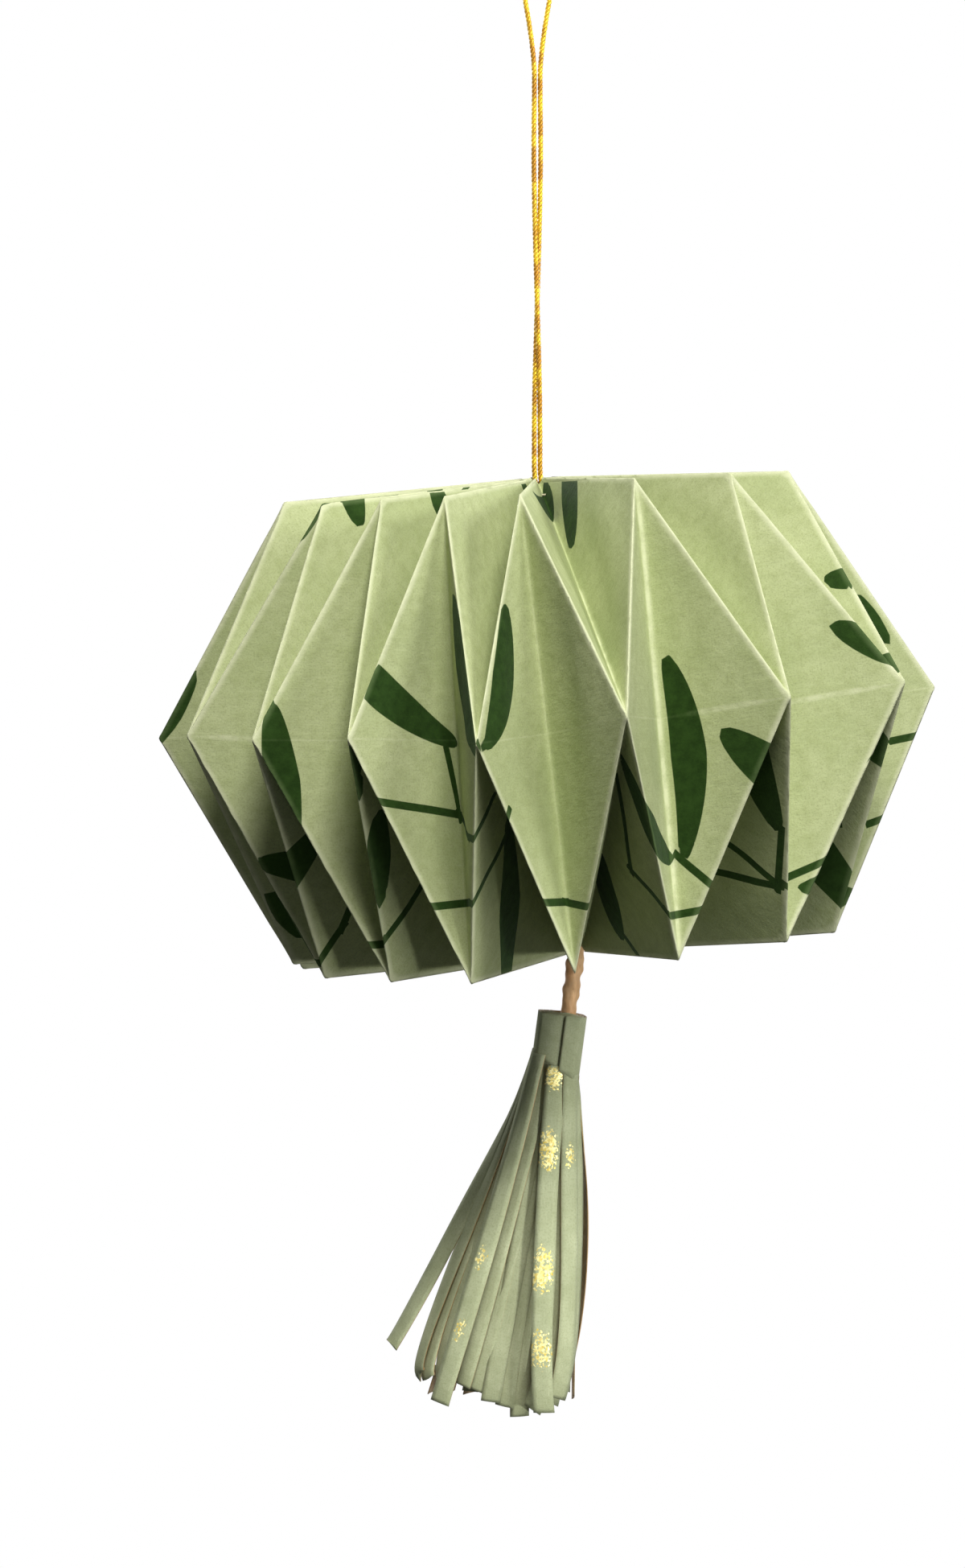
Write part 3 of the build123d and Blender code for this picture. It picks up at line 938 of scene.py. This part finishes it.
def flat_strip(lap_from, lap):
    """The whole flat strip, with the lap where its ends are glued at the back."""
    column = half_column()
    mesh = bpy.data.meshes.new("column")
    column.to_mesh(mesh)
    bm = bmesh.new()
    for k in range(2 * PLEATS + 1):
        known = len(bm.verts)
        bm.from_mesh(mesh)
        bm.verts.ensure_lookup_table()
        new = bm.verts[known:]
        if k % 2 == 0:
            for vert in new:
                vert.co.x = lap_from + vert.co.x + HALF_WIDTH * k
        else:
            for vert in new:
                vert.co.x = lap_from + HALF_WIDTH * (k + 1) - vert.co.x
            turned = {face for vert in new for face in vert.link_faces}
            bmesh.ops.reverse_faces(bm, faces=list(turned))
    bmesh.ops.bisect_plane(
        bm,
        geom=everything(bm),
        dist=1e-4,
        plane_co=(lap_from + STRIP + lap, 0, 0),
        plane_no=(1, 0, 0),
        clear_outer=True,
    )
    bmesh.ops.remove_doubles(bm, verts=bm.verts, dist=0.02)
    bmesh.ops.dissolve_degenerate(bm, dist=0.01, edges=bm.edges)
    bpy.data.meshes.remove(mesh)
    column.free()
    with_uv(bm)
    whole = bpy.data.meshes.new("printed_paper_strip")
    bm.to_mesh(whole)
    bm.free()
    return whole


def folded_places(u, v):
    """Where the strip's points lie about the ball's centre, with the paper's swelling and lap."""
    along = soft_fold(u + PROBE, v) - soft_fold(u - PROBE, v)
    across = soft_fold(u, v + PROBE) - soft_fold(u, v - PROBE)
    outward = np.cross(along, across)
    outward /= np.maximum(np.linalg.norm(outward, axis=1), 1e-6)[:, None]
    ridge_far, valley_far, _ = near_crease(u, v)
    # Creases hold the paper still, and so does the gathering near the cut edges
    ease = np.clip(np.minimum(ridge_far, valley_far) / 5.0, 0, 1)
    showing = np.clip((56 - np.abs(v)) / 12, 0, 1)
    swell = (SWELL * waves(u, v, 3) + PUFF) * ease * showing
    lap_rise = LAP_RISE * np.clip((u - (LAP_FROM + STRIP - 0.8)) / 0.8, 0, 1)
    return soft_fold(u, v) + outward * (swell + lap_rise)[:, None]


def give_wear(mesh, u, v):
    """Distances to the creases, for the paper's worn lines; unworn creases are set further off."""
    ridge_far, valley_far, level_far = near_crease(u, v)
    place = np.mod(u, STRIP)
    worn_panel = np.isin(place // (2 * HALF_WIDTH), WORN_PANELS) & (np.abs(v) < HALF_HEIGHT)
    worn_level = np.zeros(len(u))
    for start, end in WORN_STRETCHES:
        worn_level += np.clip((place - start) / 3, 0, 1) * np.clip((end - place) / 3, 0, 1)
    give_field(mesh, "ridge", ridge_far)
    give_field(mesh, "valley", valley_far + np.where(worn_panel, 0.0, 0.75))
    give_field(mesh, "girdle", level_far + 0.3 * (1 - worn_level))


def give_print(mesh, u, v):
    """Distances to the printed leaves and stems."""
    give_field(mesh, "leaf", leaf_field(u, v))
    for k, stems in enumerate(STEM_GROUPS):
        stem_side, stem_reach = stem_fields(u, v, stems)
        give_field(mesh, f"stem_{k}", stem_side)
        give_field(mesh, f"stem_reach_{k}", stem_reach)


strip = flat_strip(LAP_FROM, LAP)
strip_u, strip_v = flat_points(strip)
set_places(strip, transformed(BALL, folded_places(strip_u, strip_v)))
smooth(strip)
give_wear(strip, strip_u, strip_v)
give_print(strip, strip_u, strip_v)
strip.materials.append(PRINTED)
ball = to_object(strip, "printed_paper_ball")
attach(ball, "root")
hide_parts("folded_ball")

# The tassel

HEAD_RADIUS = 3.4
HEAD_LENGTH = 7.8
CORE_RADIUS = 1.35  # the roll leaves this much for the stem
TURN_PITCH = 0.4
ROLL_LENGTH = pi * (HEAD_RADIUS**2 - CORE_RADIUS**2) / TURN_PITCH
TASSEL_PAPER = 0.12
STEM_PAPER = 0.1
RING_STEP = 0.42  # from one ring of strips to the next one inwards
ROOT_INSIDE = 0.45  # a strip begins this far inside the head's side, and this far up it
ROOT_RAISE = 0.5
BACK_WIDTH = 2.4
BACK_END = -187.5  # height at which the longest back strips end
MOST_SKEW = 0.9


def paper_layers(thing, papers, thickness):
    """Gives a sheet its thickness; a second paper goes on the back and the cut edges."""
    for paper in papers:
        thing.data.materials.append(paper)
    layer = thing.modifiers.new("paper", "SOLIDIFY")
    layer.thickness = thickness * MM
    layer.offset = -1.0
    layer.material_offset = len(papers) - 1
    layer.material_offset_rim = len(papers) - 1


def roll_radius(angle, radius):
    """The roll is pressed a little square, with one sharper edge at the front."""
    corner = np.mod(angle + pi / 4 + 0.12, pi / 2) - pi / 4
    square = 1 / np.cos(corner)
    share = np.clip((radius - 2.2) / 1.2, 0, 1) * 0.30
    return radius * (1 + (square - 1.06) * share)


def slit_height(facing):
    """Where the slits between the strips end, up the head: higher on the left."""
    return -HEAD_LENGTH + 0.9 - 1.5 * np.sin(facing)


def head_bend(s, t):
    """s runs along the rolled sheet from its outer end inwards, t up the head."""
    tightening = TURN_PITCH / (2 * pi)
    # Length along an evenly tightening spiral gives the radius reached and the angle turned
    reached = np.sqrt(HEAD_RADIUS**2 - 2 * s * tightening)
    angle = (HEAD_RADIUS - reached) / tightening
    facing = radians(8) + angle
    radius = roll_radius(facing, reached)
    rise = 0.05 * (angle / (2 * pi)) + 0.05 * np.sin(3 * facing)
    low = slit_height(facing)
    x = radius * np.sin(facing)
    y = -radius * np.cos(facing)
    z = low + (rise - low) * t / HEAD_LENGTH
    return transformed(TASSEL, np.column_stack([x, y, z]))


head = bent_sheet("tassel_head", 300, 10, ROLL_LENGTH, HEAD_LENGTH, head_bend)


def bezier(p0, p1, p2, p3, t):
    t = t[:, None]
    return (1 - t) ** 3 * p0 + 3 * (1 - t) ** 2 * t * p1 + 3 * (1 - t) * t**2 * p2 + t**3 * p3


def seen_at(x, y, depth):
    """The place at that depth (mm behind the cord) that the camera sees at a photo pixel."""
    far = depth - CAMERA_AT[1]
    right = CAMERA_AT[0] + (x - PHOTO_MIDDLE[0]) / PHOTO_FOCAL * far
    down = radians(CAMERA_DOWN) + atan2(y - PHOTO_MIDDLE[1], PHOTO_FOCAL)
    return np.array([right, depth, CAMERA_AT[2] - far * tan(down)])


def cut_strip(name, azimuth, ring, end, width, mid, facing, skew, bulge=0.0):
    """One cut strip from the head's lower edge down to its end, turning to its own facing."""
    face = radians(azimuth)
    radius = float(roll_radius(face, HEAD_RADIUS - RING_STEP * ring)) - ROOT_INSIDE
    turn = np.array(TASSEL)[:3, :3]
    place = [radius * sin(face), -radius * cos(face), slit_height(face) + ROOT_RAISE]
    root = transformed(TASSEL, np.array([place]))[0]
    down = -turn @ np.array([0, 0, 1.0])
    reach = np.linalg.norm(end - root)
    straight = (end - root) / reach
    p1 = root + down * 8.0 + turn @ np.array([sin(face), -cos(face), 0.0]) * bulge
    p2 = end - straight * reach * 0.4
    if mid is not None:
        # The curve passes through the point seen in the photo halfway down
        p2 = (8 * np.array(mid) - root - 3 * p1 - end) / 3
    length = reach * 1.01

    def bend(s, t):
        share = 1 - t / length
        line = bezier(root, p1, p2, end, share)
        ahead = bezier(root, p1, p2, end, share + 0.01) - bezier(root, p1, p2, end, share - 0.01)
        ahead /= np.linalg.norm(ahead, axis=1)[:, None]
        turned = np.clip((share - 0.05) * 2.0, 0, 1)
        turned = turned * turned * (3 - 2 * turned)
        toward = np.radians(azimuth + (facing - azimuth) * turned)
        toward += 0.07 * np.sin(share * 9 + azimuth) * turned
        out = np.column_stack([np.sin(toward), -np.cos(toward), np.zeros(len(s))]) @ turn.T
        side = np.cross(out, ahead)
        side /= np.linalg.norm(side, axis=1)[:, None]
        front = np.cross(ahead, side)
        off = s - width / 2
        bow = (0.25 - 0.12 * np.clip(share * 3, 0, 1)) * (1 - (2 * off / width) ** 2)
        bow += 0.2 * np.clip(share * 10, 0, 1)
        return line + off[:, None] * side + bow[:, None] * front

    return bent_sheet(name, 4, 44, width, length, bend, skew)


# Strips that the photo shows. Middle and end are places in the photo, in its pixels, and the
# depth is in mm behind the cord.
FrontStrip = namedtuple(
    "FrontStrip", "azimuth ring middle_x middle_y end_x end_y depth width facing"
)
FRONT_STRIPS = [
    (-48, 0, 611, 1530, 547, 1744, -9, 2.7, -24),
    (4, 0, 678, 1540, 677, 1756, -10, 2.7, 2),
    (40, 0, 708, 1540, 692, 1738, -7, 2.5, 26),
    (66, 0, 718, 1535, 697, 1732, -4, 2.5, 55),
    (92, 0, 727, 1518, 701, 1712, -1, 2.4, 105),
    (-30, 1, 628, 1530, 575, 1722, -6, 2.6, -30),
    (-20, 1, 638, 1535, 592, 1728, -5.5, 2.6, -20),
    (-8, 1, 648, 1540, 610, 1742, -6, 2.5, -5),
    (4, 1, 658, 1545, 628, 1748, -5.5, 2.5, -12),
    (-2, 2, 664, 1550, 646, 1760, -4.5, 2.5, 8),
    (22, 1, 690, 1545, 662, 1752, -6, 2.5, 10),
    (52, 1, 704, 1545, 684, 1744, -4, 2.4, 25),
    (-98, 0, 575, 1512, 487, 1672, -1, 2.5, -48),
    (-78, 0, 582, 1530, 524, 1706, -3, 2.4, -60),
    (-70, 1, 590, 1530, 534, 1712, -3, 2.4, -50),
    (-60, 1, 598, 1528, 553, 1720, -4, 2.4, -50),
    (-90, 1, 585, 1525, 542, 1700, 1, 2.4, -75),
    (-55, 2, 606, 1528, 562, 1715, -3, 2.4, -40),
]
# Strips behind them, in mm: how far right of the cord and behind it they end, and how much
# shorter they are than the longest
BackStrip = namedtuple("BackStrip", "azimuth ring end_x depth shorter")
BACK_STRIPS = [
    (-120, 0, -13.5, 3.0, 0.9),
    (-140, 1, -11.0, 4.0, 0.5),
    (-160, 0, -8.5, 7.0, 0.2),
    (180, 1, -5.0, 8.5, 0.0),
    (160, 0, -2.5, 9.5, 1.1),
    (140, 1, 0.5, 7.5, 0.4),
    (118, 0, 3.0, 6.0, 0.7),
    (96, 0, 4.6, 3.0, 0.3),
    (78, 1, 3.4, 0.5, 1.6),
    (-170, 2, -6.0, 3.5, 1.4),
    (120, 2, 0.5, 2.5, 1.2),
    (60, 2, 1.2, -1.0, 2.2),
    (-50, 2, -8.5, -1.0, 1.8),
    (20, 2, -1.0, -2.0, 2.6),
]
# Dots of gold leaf on the sheet: on which strip, and how far down it
GOLD_DOTS = {
    0: (26.5, 34.8),
    1: (2.2, 12.6, 25.6, 34.6),
    2: (12.0,),
    19: (14.0,),
    21: (22.0,),
    24: (9.0, 30.0),
}
DOT_INSET = 1.2  # from a strip's side to the middle of its dots
DOT_HALF_WIDTH = 1.25
DOT_HALF_LENGTH = 2.2
# On these strips the leaf is rubbed away, so that only the dots' middles are left
RUBBED_STRIPS = (0, 2)
RUBBED = 0.6


def dot_field(mesh, number):
    """Distance to the nearest gold dot's rim on that strip, negative inside."""
    layer = mesh.uv_layers["sheet"].data
    flat = np.zeros((len(mesh.vertices), 2))
    for loop in mesh.loops:
        flat[loop.vertex_index] = layer[loop.index].uv
    across = flat[:, 0] * UV_UNIT - DOT_INSET
    down = flat[:, 1] * UV_UNIT
    down = down.max() - down
    rubbed = RUBBED if number in RUBBED_STRIPS else 0.0
    field = np.full(len(flat), FAR)
    for place in GOLD_DOTS.get(number, ()):
        from_middle = np.hypot(across / DOT_HALF_WIDTH, (down - place) / DOT_HALF_LENGTH)
        rim = (from_middle - 1) * 1.1
        field = np.minimum(field, rim + rubbed)
    return field


def front_strip(k, row):
    """A strip whose end and middle are seen in the photo."""
    end = seen_at(row.end_x, row.end_y, row.depth)
    mid_depth = (row.depth - 3.0 * cos(radians(row.azimuth))) / 2
    mid = seen_at(row.middle_x, row.middle_y, mid_depth)
    skew = random.uniform(-MOST_SKEW, MOST_SKEW)
    bulge = 1.6 if 40 < row.azimuth < 120 else 0.3
    return cut_strip(
        f"front_{k}", row.azimuth, row.ring, end, row.width, mid, row.facing, skew, bulge
    )


def back_strip(k, row):
    """A strip behind them, which turns a little to either side."""
    end = np.array([row.end_x, row.depth, BACK_END + row.shorter])
    facing = row.azimuth + random.uniform(-30, 30)
    skew = random.uniform(-MOST_SKEW, MOST_SKEW)
    return cut_strip(f"back_{k}", row.azimuth, row.ring, end, BACK_WIDTH, None, facing, skew)


strip_meshes = [front_strip(k, FrontStrip(*row)) for k, row in enumerate(FRONT_STRIPS)]
strip_meshes += [back_strip(k, BackStrip(*row)) for k, row in enumerate(BACK_STRIPS)]
dots = [np.full(len(head.vertices), FAR)]
dots += [dot_field(mesh, number) for number, mesh in enumerate(strip_meshes)]
whole_tassel = joined("tassel_paper", [head] + strip_meshes)
give_field(whole_tassel, "dot", np.concatenate(dots))
fringe = to_object(whole_tassel, "tassel_paper")
paper_layers(fringe, [SAGE, TAN_BACK], TASSEL_PAPER)
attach(fringe, "root")
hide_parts("tassel_fringe")

# The rolled stem: one and a half turns of tan paper, pinched and creased where it was pressed
STEM_RADIUS = 1.05
STEM_LENGTH = HEAD_END + STEM_TOP


def stem_bend(s, t):
    """s runs round the roll from its inner end, t up from the end in the head."""
    angle = s / STEM_RADIUS
    height = t - HEAD_END
    pinch = 0.10 * np.sin(height * 1.9 + 2 * angle) + 0.06 * np.sin(height * 3.7 - angle)
    radius = STEM_RADIUS - 0.12 + 0.03 * angle / pi + pinch * np.clip(height / 2, 0, 1)
    x = STEM_ASIDE + radius * np.sin(angle + 0.5) * (1 + 0.10 * np.clip(height / 6, 0, 1))
    y = -radius * np.cos(angle + 0.5)
    return transformed(TASSEL, np.column_stack([x, y, height]))


stem_mesh = bent_sheet("rolled_stem", 44, 60, 3 * pi * STEM_RADIUS, STEM_LENGTH, stem_bend)
stem = to_object(stem_mesh, "rolled_stem")
paper_layers(stem, [COPPER_TAN], STEM_PAPER)
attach(stem, "root")
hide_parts("tassel_stem")

# The threads

for node in ("top_gathering_thread", "bottom_gathering_thread"):
    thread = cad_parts[node]
    thread.data.materials.clear()
    thread.data.materials.append(COTTON)

# Light and background

# White to the camera and in reflections, and a dim cool light for everything else
world = bpy.data.worlds.new("studio")
bpy.context.scene.world = world
world.use_nodes = True
tree = world.node_tree
tree.nodes.clear()
rays = tree.nodes.new("ShaderNodeLightPath")
dim = tree.nodes.new("ShaderNodeBackground")
dim.inputs[0].default_value = (0.95, 0.97, 1.0, 1.0)
dim.inputs[1].default_value = 0.07
white = tree.nodes.new("ShaderNodeBackground")
white.inputs[0].default_value = (1.0, 1.0, 1.0, 1.0)
white.inputs[1].default_value = 1.0
choose = tree.nodes.new("ShaderNodeMixShader")
seen = tree.nodes.new("ShaderNodeMath")
seen.operation = "MAXIMUM"
tree.links.new(rays.outputs["Is Camera Ray"], seen.inputs[0])
shown = tree.nodes.new("ShaderNodeMath")
shown.operation = "MAXIMUM"
tree.links.new(rays.outputs["Is Transmission Ray"], shown.inputs[0])
tree.links.new(rays.outputs["Is Glossy Ray"], shown.inputs[1])
tree.links.new(shown.outputs[0], seen.inputs[1])
output = tree.nodes.new("ShaderNodeOutputWorld")
tree.links.new(seen.outputs[0], choose.inputs[0])
tree.links.new(dim.outputs[0], choose.inputs[1])
tree.links.new(white.outputs[0], choose.inputs[2])
tree.links.new(choose.outputs[0], output.inputs[0])


def hang(light, place, aim):
    """Puts a light at that place, turned to what it lights."""
    thing = to_object(light, light.name)
    thing.location = place
    direction = Vector(aim) - Vector(place)
    thing.rotation_euler = direction.to_track_quat("-Z", "Y").to_euler()


def lamp(name, place, aim, size, power, colour=(1, 1, 1)):
    light = bpy.data.lights.new(name, "AREA")
    light.shape = "DISK"
    light.size = size
    light.energy = power
    light.color = colour
    hang(light, place, aim)


HEART = (0, 0, -0.11)
MID_TASSEL = (-0.002, 0.0, -0.162)
lamp("key", (0.1, -0.65, 0.65), HEART, 0.35, 9.9, (1.0, 0.985, 0.95))
lamp("side", (0.74, -0.54, 0.29), HEART, 0.3, 3.2)
lamp("back_left", (-0.45, 0.75, 0.25), HEART, 0.5, 3.5)
lamp("back_right", (0.55, 0.75, 0.25), HEART, 0.5, 3.5)

# The tassel hangs in the key's shadow, so a narrow lamp of its own reaches under the ball
under = bpy.data.lights.new("under", "SPOT")
under.energy = 7.6
under.spot_size = radians(8.0)
under.spot_blend = 0.35
under.shadow_soft_size = 0.03
hang(under, (0.31, -0.44, -0.19), MID_TASSEL)

scene = bpy.context.scene
scene.view_settings.view_transform = "Standard"
scene.view_settings.look = "None"
scene.view_settings.exposure = 0.0
scene.view_settings.gamma = 1.0

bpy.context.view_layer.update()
